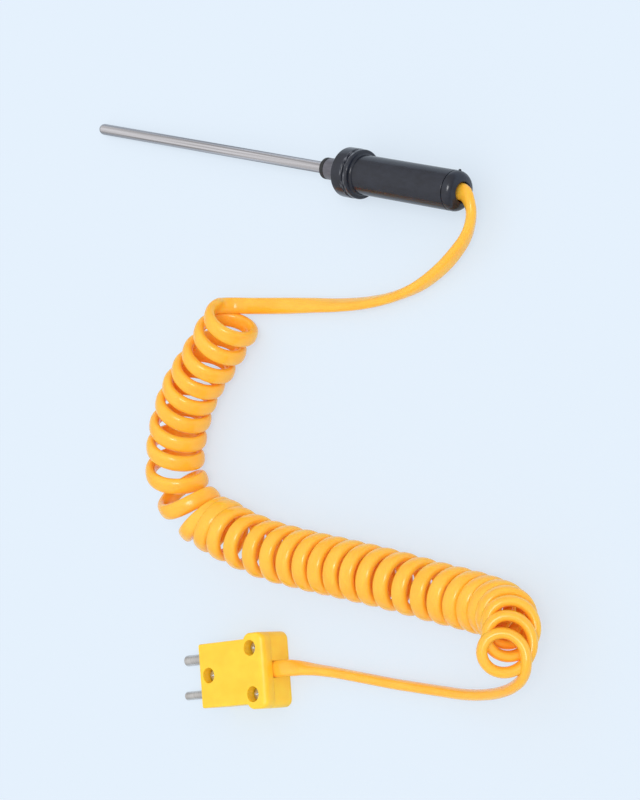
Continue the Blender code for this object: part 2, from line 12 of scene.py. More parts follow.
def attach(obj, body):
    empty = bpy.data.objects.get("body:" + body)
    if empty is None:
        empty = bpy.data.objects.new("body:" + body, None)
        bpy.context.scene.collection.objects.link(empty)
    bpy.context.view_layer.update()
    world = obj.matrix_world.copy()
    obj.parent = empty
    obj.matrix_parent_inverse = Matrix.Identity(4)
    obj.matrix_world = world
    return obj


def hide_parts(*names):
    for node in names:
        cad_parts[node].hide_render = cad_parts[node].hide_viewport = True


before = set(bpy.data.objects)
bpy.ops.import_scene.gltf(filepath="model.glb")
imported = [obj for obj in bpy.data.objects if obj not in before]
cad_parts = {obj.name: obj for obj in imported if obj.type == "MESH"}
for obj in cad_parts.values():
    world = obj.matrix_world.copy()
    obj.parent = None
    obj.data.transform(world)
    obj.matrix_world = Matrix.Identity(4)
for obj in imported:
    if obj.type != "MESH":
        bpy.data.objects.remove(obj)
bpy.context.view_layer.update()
MM = 0.001

# --- Stem sheath ---------------------------------------------------------------------------------
# A thin tube of stainless steel, drawn and ground to a satin finish, with its tip closed and rounded.
# It holds the measuring junction, and its rear end sits in the collar.
stem_radius = 1.80 * MM
stem_wall = 0.40 * MM
stem_shown = 109.0 * MM
stem_end = stem_shown + 19.0 * MM
tip_wall = 1.20 * MM

# The probe rests on its tip and on the rim of its front cap, so its axis rises to the rear.
flange_front = 118.4 * MM
flange_radius = 7.67 * MM
probe_length = 166.3 * MM
reach = flange_front - stem_radius
tilt = math.acos(stem_radius / math.hypot(flange_radius, reach)) - math.atan2(reach, flange_radius)
tip_middle = -(probe_length - stem_radius) * math.cos(tilt) / 2 + stem_radius / 2
tip_place = (tip_middle - stem_radius * math.cos(tilt), 0, stem_radius * (1 - math.sin(tilt)))
probe_pose = Matrix.Translation(tip_place) @ Matrix.Rotation(-tilt, 4, "Y")


def linear(code):
    """Linear RGBA of an sRGB hex colour: c becomes ((c + 0.055) / 1.055) ^ 2.4, or c / 12.92 where dark."""
    channels = np.array([int(code[i:i + 2], 16) / 255 for i in (0, 2, 4)])
    channels = np.where(channels <= 0.04045, channels / 12.92, ((channels + 0.055) / 1.055) ** 2.4)
    return tuple(channels) + (1.0,)


def add(tree, kind, inputs=None, **settings):
    """Adds a node, sets its settings, and fills its inputs with values or with other nodes' outputs."""
    made = tree.nodes.new(kind)
    for key, value in settings.items():
        setattr(made, key, value)
    for key, value in (inputs or {}).items():
        if isinstance(value, bpy.types.NodeSocket):
            tree.links.new(value, made.inputs[key])
        else:
            made.inputs[key].default_value = value
    return made


def blank(name, **values):
    """A material with one Principled shader, whose plain values are set on its own sockets."""
    made = bpy.data.materials.new(name)
    made.use_nodes = True
    shader = made.node_tree.nodes["Principled BSDF"]
    for key, value in values.items():
        shader.inputs[key.replace("_", " ")].default_value = value
    return made, made.node_tree, shader


def grain(tree, source, scale, detail=4.0, rough=0.55):
    """Noise over a vector in millimetres, stretched by a scale for each axis in cycles a millimetre."""
    placed = add(tree, "ShaderNodeMapping", {"Vector": source, "Scale": scale})
    noise = add(tree, "ShaderNodeTexNoise", {"Vector": placed.outputs["Vector"], "Scale": 1.0,
                                             "Detail": detail, "Roughness": rough})
    return noise.outputs["Fac"]


def spread(tree, value, low, high):
    """Brings a 0 to 1 pattern to the range from low to high, taking noise as lying between 0.3 and 0.7."""
    ranged = add(tree, "ShaderNodeMapRange", {"Value": value, "From Min": 0.3, "From Max": 0.7,
                                              "To Min": low, "To Max": high})
    return ranged.outputs["Result"]


def tones(tree, value, *stops):
    """Colour ramp through (place, hex colour) stops."""
    ramp = add(tree, "ShaderNodeValToRGB", {"Fac": value})
    edges = ramp.color_ramp.elements
    while len(edges) < len(stops):
        edges.new(0.5)
    for edge, (place, code) in zip(edges, stops):
        edge.position = place
        edge.color = linear(code)
    return ramp.outputs["Color"]


def bump(tree, shader, height, depth, strength=1.0):
    """Lets a pattern push the surface out and in by a depth in metres."""
    made = add(tree, "ShaderNodeBump", {"Height": height, "Distance": depth, "Strength": strength})
    tree.links.new(made.outputs["Normal"], shader.inputs["Normal"])


def own_place(tree):
    """The piece's own coordinates in millimetres, kept on its mesh before it was put in place."""
    return add(tree, "ShaderNodeAttribute", attribute_name="own").outputs["Vector"]


def grid(points, close_rows=False, close_columns=True):
    """Mesh data of a grid of points: face (i, j) joins point (i, j) with the next in its row and column."""
    rows, columns = points.shape[:2]
    number = np.arange(rows * columns).reshape(rows, columns)
    if close_rows:
        number = np.vstack([number, number[:1]])
    if close_columns:
        number = np.hstack([number, number[:, :1]])
    faces = np.stack([number[:-1, :-1], number[:-1, 1:], number[1:, 1:], number[1:, :-1]], -1)
    return points.reshape(-1, 3), faces.reshape(-1, 4)


def arc(along, out, radius, start, end, steps=8):
    """Points (along + radius cos a, out + radius sin a) for angles a from start to end in degrees."""
    a = np.radians(np.linspace(start, end, steps + 1))
    return np.stack([along + radius * np.cos(a), out + radius * np.sin(a)], 1)


def lathe(profile, close=False, sides=96):
    """Turns a profile of (x, r) about X: point (i, j) is (x_i, r_i cos a_j, r_i sin a_j)."""
    profile = np.vstack(profile)
    a = np.linspace(0, math.tau, sides, endpoint=False)
    x = np.repeat(profile[:, :1], sides, 1)
    return grid(np.stack([x, profile[:, 1:] * np.cos(a), profile[:, 1:] * np.sin(a)], -1), close_rows=close)


def solid(parts, own=None):
    """Mesh of closed skins in their own coordinates, with doubles merged and faces turned outwards."""
    mesh = bpy.data.meshes.new("skin")
    offset = 0
    verts, faces = [], []
    for points, corners in parts:
        verts += points.tolist()
        faces += [[offset + number for number in corner] for corner in corners]
        offset += len(points)
    mesh.from_pydata(verts, [], faces)
    if own is not None:
        kept = mesh.attributes.new("own", "FLOAT_VECTOR", "POINT")
        kept.data.foreach_set("vector", own.astype(np.float32).ravel())
    shape = bmesh.new()
    shape.from_mesh(mesh)
    bmesh.ops.remove_doubles(shape, verts=shape.verts, dist=1e-6)
    bmesh.ops.recalc_face_normals(shape, faces=shape.faces)
    shape.to_mesh(mesh)
    shape.free()
    return mesh


def piece(name, mesh, pose, look, slot, *nodes, crease=38):
    """Puts a mesh in its place as an object that rides on the frame and stands for its CAD nodes."""
    if "own" not in mesh.attributes:
        place = np.zeros(len(mesh.vertices) * 3, np.float32)
        mesh.vertices.foreach_get("co", place)
        mesh.attributes.new("own", "FLOAT_VECTOR", "POINT").data.foreach_set("vector", place / MM)
    mesh.name = name
    mesh.transform(pose)
    mesh.shade_smooth()
    mesh.set_sharp_from_angle(angle=math.radians(crease))
    mesh.materials.clear()
    mesh.materials.append(look)
    made = bpy.data.objects.new(name, mesh)
    bpy.context.scene.collection.objects.link(made)
    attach(made, "root")
    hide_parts(*nodes)
    return made


# Stainless steel, ground along the tube: neutral grey, with light and dark streaks about 0.5 mm wide and
# darker edges. The grinding lines are about 0.05 mm apart on a real tube and are drawn 0.35 mm apart, so that
# they show.
satin_steel, tree, shader = blank("ground stainless steel", Metallic=1.0, Anisotropic=0.35)
own = own_place(tree)
lines = grain(tree, own, (0.06, 2.8, 2.8))
bands = grain(tree, own, (0.012, 1.9, 1.9), detail=2.0)
steel_tone = tones(tree, bands, (0.36, "AAA8AB"), (0.5, "CAC8CB"), (0.64, "E6E4E8"))
tree.links.new(steel_tone, shader.inputs["Base Color"])
tree.links.new(spread(tree, lines, 0.22, 0.36), shader.inputs["Roughness"])
shader.inputs["Specular Tint"].default_value = (0.42, 0.42, 0.42, 1.0)
bump(tree, shader, lines, 0.004 * MM)

stem_bore = stem_radius - stem_wall
stem_skin = lathe([arc(stem_radius, 0, stem_radius, 180, 90, 20),
                   [(stem_end, stem_radius), (stem_end, stem_bore)],
                   arc(tip_wall + stem_bore, 0, stem_bore, 90, 180, 10)])
piece("satin_stem", solid([stem_skin]), probe_pose, satin_steel, "stem_steel", "stem_sheath")


# --- Insulator, wires and junction ------------------------------------------------------------------
# An alumina rod with two bores carries the bare thermocouple wires to a welded bead in the tip of the stem.
# These pieces are inside, so the CAD's own shapes stay and get their finishes.
def refinish(look, *nodes):
    """Gives CAD nodes a detailed material in place of their plain one."""
    for name in nodes:
        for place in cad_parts[name].material_slots:
            place.material = look


def plain_place(tree):
    """Object coordinates in millimetres, for pieces whose pattern has no direction of its own."""
    where = add(tree, "ShaderNodeTexCoord").outputs["Object"]
    return add(tree, "ShaderNodeVectorMath", {0: where, "Scale": 1000.0}, operation="SCALE").outputs["Vector"]


# Sintered alumina: off-white and dry, with a fine speckle of about 0.4 mm.
alumina, tree, shader = blank("sintered alumina", Roughness=0.55)
speckle = grain(tree, plain_place(tree), (2.5, 2.5, 2.5))
tree.links.new(tones(tree, speckle, (0.3, "DED7C8"), (0.7, "F2EEE4")), shader.inputs["Base Color"])
bump(tree, shader, speckle, 0.01 * MM)
refinish(alumina, "insulator_core")

# Nickel alloy wire, annealed: a dull grey metal with brown oxide blotches of about 1 mm.
alloy, tree, shader = blank("annealed nickel alloy", Metallic=1.0)
oxide = grain(tree, plain_place(tree), (1.1, 1.1, 1.1))
tree.links.new(tones(tree, oxide, (0.35, "7A6E62"), (0.65, "A8A39A")), shader.inputs["Base Color"])
tree.links.new(spread(tree, oxide, 0.5, 0.3), shader.inputs["Roughness"])
refinish(alloy, "measuring_junction", "wire_positive", "wire_negative")

# --- Seal ring ---------------------------------------------------------------------------------------
# A black rubber ring round the stem, pressed in place at the mouth of the collar. Its front edge is rounded.
seal_length = 1.50 * MM
collar_radius = 3.35 * MM
stem_seat = stem_radius + 0.30 * MM
seal_edge = 0.45 * MM

# Moulded nitrile rubber: near black, matt, with a fine grain of about 0.3 mm.
rubber, tree, shader = blank("nitrile rubber")
crumb = grain(tree, own_place(tree), (3.2, 3.2, 3.2))
tree.links.new(tones(tree, crumb, (0.3, "18191B"), (0.7, "292A2D")), shader.inputs["Base Color"])
tree.links.new(spread(tree, crumb, 0.45, 0.65), shader.inputs["Roughness"])
bump(tree, shader, crumb, 0.02 * MM)

seal_end = stem_shown + seal_length
seal_back = 0.20 * MM
seal_skin = lathe([[(stem_shown, stem_seat)],
                   arc(stem_shown + seal_edge, collar_radius - seal_edge, seal_edge, 180, 90),
                   arc(seal_end - seal_back, collar_radius - seal_back, seal_back, 90, 0, 4),
                   [(seal_end, stem_seat)]], close=True)
piece("seal_ring", solid([seal_skin]), probe_pose, rubber, "seal_rubber", "stem_seal")

# --- Collar ------------------------------------------------------------------------------------------
# A grey moulded bush that the stem is bonded in. Its rear end is held in the front cap.
collar_start = seal_end + 0.15 * MM
collar_end = flange_front + 8.0 * MM

# Glass-filled nylon: mid grey, half matt, with faint flow streaks along the part and a fine grain.
grey_nylon, tree, shader = blank("glass-filled nylon")
own = own_place(tree)
flow = grain(tree, own, (0.35, 1.6, 1.6))
grit = grain(tree, own, (5.0, 5.0, 5.0), detail=2.0)
tree.links.new(tones(tree, flow, (0.3, "55545C"), (0.7, "6A6972")), shader.inputs["Base Color"])
tree.links.new(spread(tree, grit, 0.36, 0.5), shader.inputs["Roughness"])
bump(tree, shader, grit, 0.012 * MM)

collar_edge = 0.25 * MM
collar_skin = lathe([[(collar_start, stem_seat)],
                     arc(collar_start + collar_edge, collar_radius - collar_edge, collar_edge, 180, 90, 5),
                     [(collar_end, collar_radius), (collar_end, stem_seat)]], close=True)
piece("grey_collar", solid([collar_skin]), probe_pose, grey_nylon, "collar_plastic", "stem_collar")

# --- Front cap, barrel and rear cap ------------------------------------------------------------------
# Three mouldings in the same black plastic. The disc-shaped front cap and the domed rear cap have spigots in
# the barrel. The rear cap has a small nub on its rim, left by the mould.
flange_length = 4.70 * MM
flange_rear = flange_front + flange_length
barrel_start = flange_rear + 0.30 * MM
barrel_end = barrel_start + 39.4 * MM
cap_start = barrel_end + 0.30 * MM
barrel_radius = 6.08 * MM
barrel_bore = 4.60 * MM
shoulder_radius = 7.60 * MM
shoulder_end = barrel_start + 1.80 * MM
edge = 0.55 * MM
fillet = 0.70 * MM
joint_edge = 0.15 * MM
spigot = barrel_bore - 0.30 * MM
spigot_length = 7.0 * MM
collar_seat = collar_radius + 0.30 * MM

# Black polyamide, polished in the mould: charcoal with a clear gloss, faint flow marks round the part, and
# fine handling scratches that only change the gloss. They are drawn 0.3 mm apart, so that they show.
black_nylon, tree, shader = blank("polished black polyamide", IOR=1.52, Specular_IOR_Level=0.42)
own = own_place(tree)
cloud = grain(tree, own, (0.25, 0.5, 0.5))
rub = grain(tree, own, (3.5, 0.5, 0.5), detail=6.0)
shell_tone = tones(tree, cloud, (0.3, "1A1D27"), (0.7, "252935"))
tree.links.new(spread(tree, rub, 0.13, 0.27), shader.inputs["Roughness"])
bump(tree, shader, cloud, 0.03 * MM)
# Painted highlight: whitish patches of about 0.5 mm within 1 mm of the joint behind the front cap stand in
# for the gloss that the shoulder ring catches there.
along_probe = add(tree, "ShaderNodeSeparateXYZ", {0: own}).outputs["X"]
joint_place = flange_rear / MM + 0.3
near_joint = add(tree, "ShaderNodeMath", {0: along_probe, 1: joint_place, 2: 1.0}, operation="COMPARE")
highlight_patches = spread(tree, grain(tree, own, (1.6, 0.5, 0.5)), -0.9, 1.3)
painted_highlight = add(tree, "ShaderNodeMath", {0: highlight_patches, 1: near_joint.outputs[0]}, operation="MULTIPLY", use_clamp=True)
# The pale grey 6E7078 mixed in here is the painted highlight, not a mark on the plastic.
mixed = add(tree, "ShaderNodeMix", {"Factor": painted_highlight.outputs[0], 6: shell_tone, 7: linear("6E7078")},
            data_type="RGBA")
tree.links.new(mixed.outputs[2], shader.inputs["Base Color"])

flange_skin = lathe([[(flange_front, collar_seat)],
                     arc(flange_front + edge, flange_radius - edge, edge, 180, 90),
                     arc(flange_rear - edge, flange_radius - edge, edge, 90, 0),
                     [(flange_rear, spigot), (flange_rear + spigot_length, spigot),
                      (flange_rear + spigot_length, collar_seat)]], close=True)
piece("front_disc", solid([flange_skin]), probe_pose, black_nylon, "handle_plastic", "front_cap")

barrel_skin = lathe([[(barrel_start, barrel_bore)],
                     arc(barrel_start + edge, shoulder_radius - edge, edge, 180, 90),
                     arc(shoulder_end - edge, shoulder_radius - edge, edge, 90, 0),
                     arc(shoulder_end + fillet, barrel_radius + fillet, fillet, 180, 270),
                     arc(barrel_end - joint_edge, barrel_radius - joint_edge, joint_edge, 90, 0, 4),
                     [(barrel_end, barrel_bore)]], close=True)
piece("barrel_tube", solid([barrel_skin]), probe_pose, black_nylon, "handle_plastic", "handle_barrel")

cap_edge = 2.50 * MM
cap_shoulder = probe_length - 0.35 * MM - cap_edge
hole_radius = 3.00 * MM
lip = 0.30 * MM
dome = arc(cap_shoulder, barrel_radius - cap_edge, cap_edge, 90, 12, 14)
cap_skin = lathe([arc(cap_start + joint_edge, barrel_radius - joint_edge, joint_edge, 180, 90, 4), dome,
                  arc(probe_length - lip, hole_radius + lip, lip, 20, -90),
                  [(cap_start - spigot_length, hole_radius), (cap_start - spigot_length, spigot),
                   (cap_start, spigot)]], close=True)
nub_radius = 0.45 * MM
a, b = np.meshgrid(np.linspace(0, math.pi, 13), np.linspace(0, math.tau, 24, endpoint=False), indexing="ij")
nub = nub_radius * np.stack([np.cos(a), np.sin(a) * np.cos(b), np.sin(a) * np.sin(b)], -1)
nub_skin = grid(nub + ((cap_start + cap_shoulder) / 2 + 0.3 * MM, barrel_radius, 0))
piece("rear_dome", solid([cap_skin, nub_skin]), probe_pose, black_nylon, "handle_plastic", "rear_cap")

# --- Splices and conductors --------------------------------------------------------------------------
# Crimped sleeves join the thermocouple wires to the cord's two insulated conductors, and a crimped ring on
# the cord takes the pull. All of it is inside the handle or the plug, so the CAD's own shapes stay.
# Tinned copper: pale grey metal with slight dents of about 0.6 mm.
tinned, tree, shader = blank("tinned copper", Metallic=1.0)
dents = grain(tree, plain_place(tree), (1.6, 1.6, 1.6))
tree.links.new(tones(tree, dents, (0.3, "A9A497"), (0.7, "CFCBC0")), shader.inputs["Base Color"])
tree.links.new(spread(tree, dents, 0.28, 0.42), shader.inputs["Roughness"])
bump(tree, shader, dents, 0.02 * MM)
refinish(tinned, "splice_positive", "splice_negative", "cord_stop")

# Extruded silicone insulation: an even colour with a soft sheen and a dusty mottle of about 1 mm.
for colour_name, dull, bright, polarity in (("red", "9E2B22", "BF3B30", "negative"),
                                            ("yellow", "E0AE12", "F6CB2C", "positive")):
    insulation, tree, shader = blank(colour_name + " silicone insulation", Roughness=0.45)
    mottle = grain(tree, plain_place(tree), (0.9, 0.9, 0.9))
    tree.links.new(tones(tree, mottle, (0.3, dull), (0.7, bright)), shader.inputs["Base Color"])
    bump(tree, shader, mottle, 0.01 * MM)
    refinish(insulation, "handle_conductor_" + polarity, "plug_conductor_" + polarity)

# --- Plug: pins and terminals ------------------------------------------------------------------------
# Two turned pins, the negative one thicker, with flat terminal blocks inside the housing, where the
# conductors are held under screws and washers.
plug_pose = Matrix.Translation((15.4 * MM, -163.9 * MM, 0)) @ Matrix.Rotation(math.radians(19.5), 4, "Z")
pin_nose = 0.55 * MM
pin_height = 6.10 * MM
pin_pitch = 11.1 * MM
front_wall = 6.4 * MM
block_start = front_wall + 0.30 * MM
block_end = block_start + 7.7 * MM
pocket_half = 8.35 * MM
terminal_radius = pocket_half - pin_pitch / 2 - 0.30 * MM
screw_place = front_wall + 4.4 * MM

# Nickel-plated brass, turned: a slightly warm grey metal. The turning marks ring the pin, 0.3 mm apart.
nickel, tree, shader = blank("nickel-plated brass", Metallic=1.0)
own = own_place(tree)
rings = grain(tree, own, (3.3, 0.15, 0.15), detail=3.0)
stain = grain(tree, own, (0.3, 0.3, 0.3))
tree.links.new(tones(tree, stain, (0.3, "BAB7B4"), (0.7, "D6D4D2")), shader.inputs["Base Color"])
tree.links.new(spread(tree, rings, 0.22, 0.40), shader.inputs["Roughness"])
bump(tree, shader, rings, 0.006 * MM)


def loft(points):
    """Grid of closed outlines, one a row, with a flat face over the first and the last of them."""
    verts, faces = grid(points)
    columns = points.shape[1]
    return verts, faces.tolist() + [list(range(columns)), list(range(len(verts) - columns, len(verts)))]


def rounded_plan(x0, x1, half, radius, steps=6):
    """Outline of a rectangle with round corners: a quarter circle of the radius at each corner."""
    near, far, wide = x0 + radius, x1 - radius, half - radius
    middles = ((far, wide), (near, wide), (near, -wide), (far, -wide))
    return np.vstack([arc(x, y, radius, 90 * i, 90 * i + 90, steps) for i, (x, y) in enumerate(middles)])


def prism(outline, low, high):
    """Closed skin between an outline at two heights."""
    return loft(np.stack([np.column_stack([outline, np.full(len(outline), z)]) for z in (low, high)]))


def upright(profile, x, y, sides=64):
    """Closed skin of a profile of (height, radius) turned about an upright line through (x, y), ends flat."""
    a = np.linspace(0, math.tau, sides, endpoint=False)
    height, r = np.vstack([profile]).T[:, :, None]
    return loft(np.stack(np.broadcast_arrays(x + r * np.cos(a), y + r * np.sin(a), height), -1))


def carved(body, steps):
    """Applies Boolean steps of (operation, closed skins) to a mesh in turn and gives back the result."""
    scene = bpy.context.scene
    work = bpy.data.objects.new("work", body)
    scene.collection.objects.link(work)
    tools = []
    for operation, skins in steps:
        tool = bpy.data.objects.new("tool", solid(skins))
        scene.collection.objects.link(tool)
        tools.append(tool)
        modifier = work.modifiers.new("carve", "BOOLEAN")
        modifier.operation = operation
        modifier.solver = "EXACT"
        modifier.object = tool
    bpy.context.view_layer.update()
    done = bpy.data.meshes.new_from_object(work.evaluated_get(bpy.context.evaluated_depsgraph_get()))
    for old in tools + [work]:
        bpy.data.objects.remove(old)
    return done


# Each pin's terminal block has a flat on top and a tapped hole. Tools run past what they cut by 1 mm or more.
over = 1 * MM
block_edge = 0.4 * MM
flat_start = block_start + 0.7 * MM
flat_rise = 0.6 * MM
tapping_radius = 1.05 * MM
pins = ((1, "negative", 1.75 * MM, 11.0 * MM), (-1, "positive", 1.38 * MM, 12.1 * MM))
for side, label, pin_radius, pin_shown in pins:
    pin_skin = lathe([[(-pin_shown, 0)],
                      arc(-pin_shown + pin_nose, pin_radius - pin_nose, pin_nose, 180, 90, 6),
                      [(block_start, pin_radius), (block_start, terminal_radius)],
                      [(block_end - block_edge, terminal_radius), (block_end, terminal_radius - block_edge)],
                      [(block_end, 0)]], sides=64)
    flat = prism(rounded_plan(flat_start, block_end + over, 3 * MM, 0.3 * MM), flat_rise, 4 * MM)
    tapping = upright([(-4 * MM, tapping_radius), (4 * MM, tapping_radius)], screw_place, 0, 32)
    pin = carved(solid([pin_skin]), [("DIFFERENCE", [flat]), ("DIFFERENCE", [tapping])])
    piece("round_pin_" + label, pin, plug_pose @ Matrix.Translation((0, side * pin_pitch / 2, pin_height)),
          nickel, "pin_nickel", "pin_" + label)

# Zinc-plated steel: a bluish grey metal with a fine crystalline mottle of about 0.3 mm.
zinc, tree, shader = blank("zinc-plated steel", Metallic=1.0)
crystals = grain(tree, plain_place(tree), (3.0, 3.0, 3.0))
tree.links.new(tones(tree, crystals, (0.3, "A9ABAE"), (0.7, "D8DADD")), shader.inputs["Base Color"])
tree.links.new(spread(tree, crystals, 0.24, 0.4), shader.inputs["Roughness"])
bump(tree, shader, crystals, 0.01 * MM)
refinish(zinc, "terminal_washer_positive", "terminal_washer_negative",
         "terminal_screw_positive", "terminal_screw_negative")

# --- Plug: housing -----------------------------------------------------------------------------------
# Two shells moulded in yellow plastic that part above the pins. The base has seats for the pins and the cord,
# and the cover has a boss for each screw. The cover's rear edge is rounded more than its sides.
plug_length = 27.5 * MM
plug_height = 12.2 * MM
plug_neck = 19.5 * MM
parting = 8.00 * MM
parting_gap = 0.05 * MM
parting_edge = 0.07 * MM
cord_height = 6.35 * MM

# Yellow ABS with a fine spark-eroded skin: warm yellow and half glossy, with a grain of about 0.35 mm and
# broad faint flow clouds that turn a little more orange.
yellow_abs, tree, shader = blank("yellow ABS", IOR=1.53, Subsurface_Weight=0.3, Subsurface_Scale=0.003)
shader.inputs["Subsurface Radius"].default_value = (1.0, 0.8, 0.15)
own = own_place(tree)
skin = grain(tree, own, (2.9, 2.9, 2.9), detail=3.0)
clouds = grain(tree, own, (0.14, 0.2, 0.2), detail=2.0)
tree.links.new(tones(tree, clouds, (0.3, "FFC728"), (0.7, "FFD132")), shader.inputs["Base Color"])
tree.links.new(spread(tree, skin, 0.30, 0.46), shader.inputs["Roughness"])
bump(tree, shader, skin, 0.012 * MM)


def plug_outline():
    """Plan of the plug from front to rear and back, in rows of x, y, outward x, outward y and the share of
    the rear rounding."""
    front, ear, corner, radius = 10.05 * MM, 11.8 * MM, 0.70 * MM, 2.60 * MM
    start = math.asin((front - ear + radius) / radius)
    center = plug_neck + radius * math.cos(start)
    rows = []
    for cx, cy, r, first, last, count, low, high in (
            (corner, front - corner, corner, math.pi, math.pi / 2, 8, 0, 0),
            (center, ear - radius, radius, math.pi - start, math.pi / 2, 12, 0, 0.25),
            (plug_length - radius, ear - radius, radius, math.pi / 2, 0, 20, 0.25, 1)):
        a = np.linspace(first, last, count + 1)
        outward = np.column_stack([np.cos(a), np.sin(a)])
        rows.append(np.column_stack([(cx, cy) + r * outward, outward, np.linspace(low, high, count + 1)]))
    half = np.vstack(rows)
    return np.vstack([half, half[::-1] * (1, -1, 1, -1, 1)])


def shell(near, far, side, rear, steps=10):
    """Loft of the outline from the parting height to the outer height. The outer edge turns in by a quarter
    circle whose radius grows from side to rear, and the parting edge by a small one."""
    outline = plug_outline()
    way = np.sign(far - near)
    x, y, nx, ny, share = outline.T
    turn = side + (rear - side) * share
    a = np.radians(np.linspace(0, 90, steps + 1))[:, None]
    c = np.radians(np.linspace(90, 0, 4))[:, None]
    inset = np.vstack([parting_edge * (1 - np.cos(c)) + 0 * turn, turn * (1 - np.cos(a))])
    z = np.vstack([near + way * parting_edge * (1 - np.sin(c)) + 0 * turn,
                   far - way * turn * (1 - np.sin(a))])
    return loft(np.stack([x - nx * inset, y - ny * inset, z], -1))


def trough(x0, x1, y, z, half_width, depth, top, steps=16):
    """Tool for a groove along the plug with an oval bottom and straight walls up to its open top."""
    a = np.linspace(math.pi, math.tau, steps + 1)
    section = np.column_stack([y + half_width * np.cos(a), z + depth * np.sin(a)])
    section = np.vstack([section, [(y + half_width, top), (y - half_width, top)]])
    return loft(np.stack([np.column_stack([np.full(len(section), x), section]) for x in (x0, x1)]))


head_top = plug_height - 2.70 * MM
head_foot = head_top - 1.10 * MM
boss_radius = 2.95 * MM
boss_foot = head_foot - 1.25 * MM
screw_places = [("front", 3.75 * MM, 0.0), ("upper", 22.0 * MM, 7.15 * MM), ("lower", 22.0 * MM, -7.15 * MM)]
pocket = rounded_plan(front_wall, plug_neck - 0.5 * MM, pocket_half, 0.5 * MM)

floor, roof = 2.2 * MM, 1.8 * MM
base_round = 0.6 * MM
cover_side_round = 0.5 * MM
cover_rear_round = 2.0 * MM
play = 0.3 * MM
shank_bore = 1.35 * MM
well_radius = 2.40 * MM
well_flare = 0.18 * MM
channel = trough(plug_neck - over, plug_length + over, 0, cord_height, 2.63 * MM, 1.64 * MM, parting + over)
base_steps = [("DIFFERENCE", [prism(pocket, floor, parting + over)]), ("DIFFERENCE", [channel])]
for side, label, pin_radius, pin_shown in pins:
    seat = pin_radius + 0.15 * MM
    groove = trough(-over, front_wall + over, side * pin_pitch / 2, pin_height, seat, seat, parting + over)
    base_steps.append(("DIFFERENCE", [groove]))
cover_steps = [("DIFFERENCE", [prism(pocket, parting - over, plug_height - roof)])]
socket = [(1.3 * MM, shank_bore), (boss_foot - play, shank_bore), (boss_foot - play, boss_radius + play),
          (parting + over, boss_radius + play)]
boss = [(boss_foot, boss_radius), (parting + 1.2 * MM, boss_radius)]
for label, x, y in screw_places:
    base_steps.append(("DIFFERENCE", [upright(socket, x, y)]))
    cover_steps.append(("UNION", [upright(boss, x, y)]))
# The hole's tool flares at the top by a quarter circle, which rounds the hole's edge.
hole = np.vstack([[(boss_foot - over, shank_bore), (head_foot - play, shank_bore),
                   (head_foot - play, well_radius)],
                  arc(plug_height - 0.175 * MM, well_radius + well_flare, well_flare, 270, 360, 5),
                  [(plug_height + 0.5 * MM, well_radius + well_flare)]])
for label, x, y in screw_places:
    cover_steps.append(("DIFFERENCE", [upright(hole, x, y)]))

base = carved(solid([shell(parting, 0.0, base_round, base_round)]), base_steps)
piece("yellow_base", base, plug_pose, yellow_abs, "plug_plastic", "plug_base", crease=30)
cover_body = shell(parting + parting_gap, plug_height, cover_side_round, cover_rear_round)
cover = carved(solid([cover_body]), cover_steps)
piece("yellow_cover", cover, plug_pose, yellow_abs, "plug_plastic", "plug_cover", crease=30)

# --- Cover screws ------------------------------------------------------------------------------------
# Three pan-head screws with a cross recess, zinc-plated, sunk deep in the cover.
shank_radius = 1.05 * MM
head_radius = 2.05 * MM
crown = 0.45 * MM
screw_profile = np.vstack([[(1.6 * MM, 0.2 * MM), (2.0 * MM, shank_radius), (head_foot, shank_radius),
                            (head_foot, head_radius)],
                           arc(head_top - crown, head_radius - crown, crown, 90, 0, 6)])
recess_depth = 0.65 * MM
for label, x, y in screw_places:
    body = upright(screw_profile, x, y, 48)
    cross = []
    for half in ((0.22 * MM, 1.15 * MM), (1.15 * MM, 0.22 * MM)):
        bar = np.array([(1, 1), (-1, 1), (-1, -1), (1, -1)]) * half + (x, y)
        cross.append(("DIFFERENCE", [prism(bar, head_top - recess_depth, head_top + 0.5 * MM)]))
    screw = carved(solid([body]), cross)
    piece("sunk_screw_" + label, screw, plug_pose, zinc, "screw_steel", "cover_screw_" + label)

# --- Curly cord --------------------------------------------------------------------------------------
# Two conductors in a glossy polyurethane jacket of oval section, wound on a mandrel into 33 turns and set by
# heat. One straight end goes through the rear cap and the other into the plug. The whole cord shows, about
# 1.85 m of it.
cord_width = 5.20 * MM
cord_thick = 3.20 * MM
corner_power = 2.4

# Route points as (x, y, z, roll) in metres and degrees. The roll is 90 where the oval stands upright and 0
# where it lies flat. The first points follow the probe's axis through the rear cap.
cap_points = np.array([(x * MM, 0, 0, 1) for x in (150.4, 154.5, 159.0, 163.5, 165.8)])
cap_points = cap_points @ np.array(probe_pose).T
handle_end = np.column_stack([cap_points[:, :3], np.zeros(len(cap_points))])
handle_lead = np.array([
    (0.0837, -0.0002, 0.0101, 15), (0.0854, -0.0020, 0.0099, 35), (0.0865, -0.0042, 0.0095, 48),
    (0.0867, -0.0067, 0.0089, 52), (0.0861, -0.0094, 0.0081, 60), (0.0844, -0.0131, 0.0070, 75),
    (0.0814, -0.0170, 0.0058, 88), (0.0776, -0.0212, 0.0047, 95), (0.0726, -0.0257, 0.0037, 95),
    (0.0664, -0.0302, 0.0029, 88), (0.0586, -0.0342, 0.0025, 72), (0.0480, -0.0380, 0.0024, 60),
    (0.0370, -0.0406, 0.0023, 50), (0.0255, -0.0426, 0.0021, 35), (0.0137, -0.0447, 0.0019, 12),
    (0.0043, -0.0463, 0.0018, 0), (-0.0015, -0.0473, 0.0025, 0), (-0.0053, -0.0480, 0.0044, 0),
    (-0.0070, -0.0486, 0.0076, 0),
])
